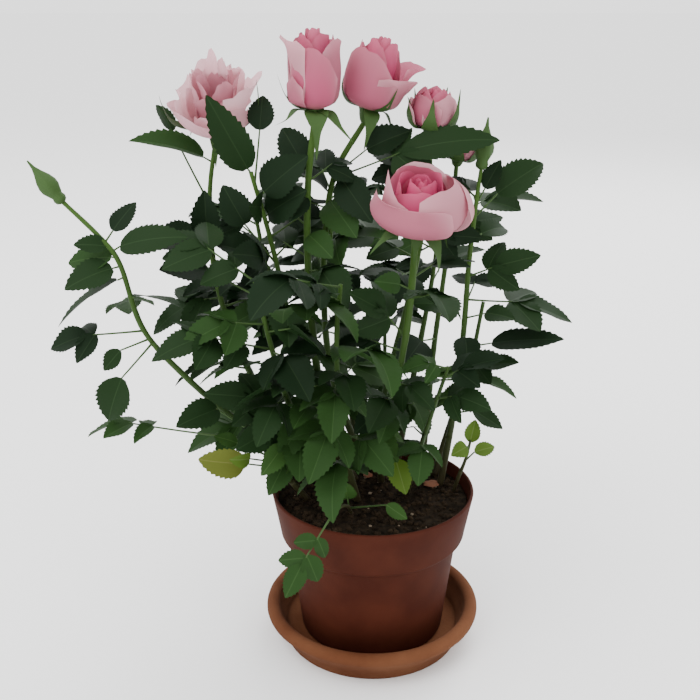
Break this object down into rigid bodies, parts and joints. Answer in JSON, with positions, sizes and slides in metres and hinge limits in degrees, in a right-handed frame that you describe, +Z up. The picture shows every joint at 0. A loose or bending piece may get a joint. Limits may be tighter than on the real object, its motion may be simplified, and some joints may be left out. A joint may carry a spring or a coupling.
{
  "type": "potted miniature rose bush",
  "caption": "Miniature rose bush with pink flowers, green buds and compound leaves, in a round collared pot standing on a clay saucer.",
  "frame": {"origin": "centre of the saucer's flat underside, on the ground", "axes": "+Z up along the pot's axis; -Y towards the plant's front, where the largest open flower leans out; +X to the plant's right as seen from the front"},
  "size_m": [0.2573, 0.2169, 0.3145],
  "materials": {
    "pot": "moulded, dull",
    "saucer": "unglazed clay",
    "soil": "moist peat crumbs",
    "cane": "green bark turning woody",
    "foliage": "soft leaves and petals"
  },
  "bodies": {
    "root": {"saucer": "saucer", "pot": "pot", "soil": "soil", "cane_far_left": "cane", "spray_far_left": "foliage", "cane_tall_left": "cane", "spray_tall_left": "foliage", "cane_left_shoot": "cane", "spray_left_shoot": "foliage", "cane_tall_middle": "cane", "spray_tall_middle": "foliage", "cane_tall_middle_back": "cane", "spray_tall_middle_back": "foliage", "cane_right_of_middle": "cane", "spray_right_of_middle": "foliage", "cane_right_inner": "cane", "spray_right_inner": "foliage", "cane_front": "cane", "spray_front": "foliage", "cane_right": "cane", "spray_right": "foliage", "cane_front_left": "cane", "spray_front_left": "foliage", "cane_front_middle": "cane", "spray_front_middle": "foliage", "cane_front_right": "cane", "spray_front_right": "foliage", "cane_low_right": "cane", "spray_low_right": "foliage", "cane_back_left": "cane", "spray_back_left": "foliage", "cane_back_middle": "cane", "spray_back_middle": "foliage", "cane_back_right": "cane", "spray_back_right": "foliage", "cane_far_right_back": "cane", "spray_far_right_back": "foliage", "cane_left_back": "cane", "spray_left_back": "foliage", "cane_low_back": "cane", "spray_low_back": "foliage", "cane_low_left": "cane", "spray_low_left": "foliage", "cane_over_rim": "cane", "spray_over_rim": "foliage"}
  },
  "joints": []
}
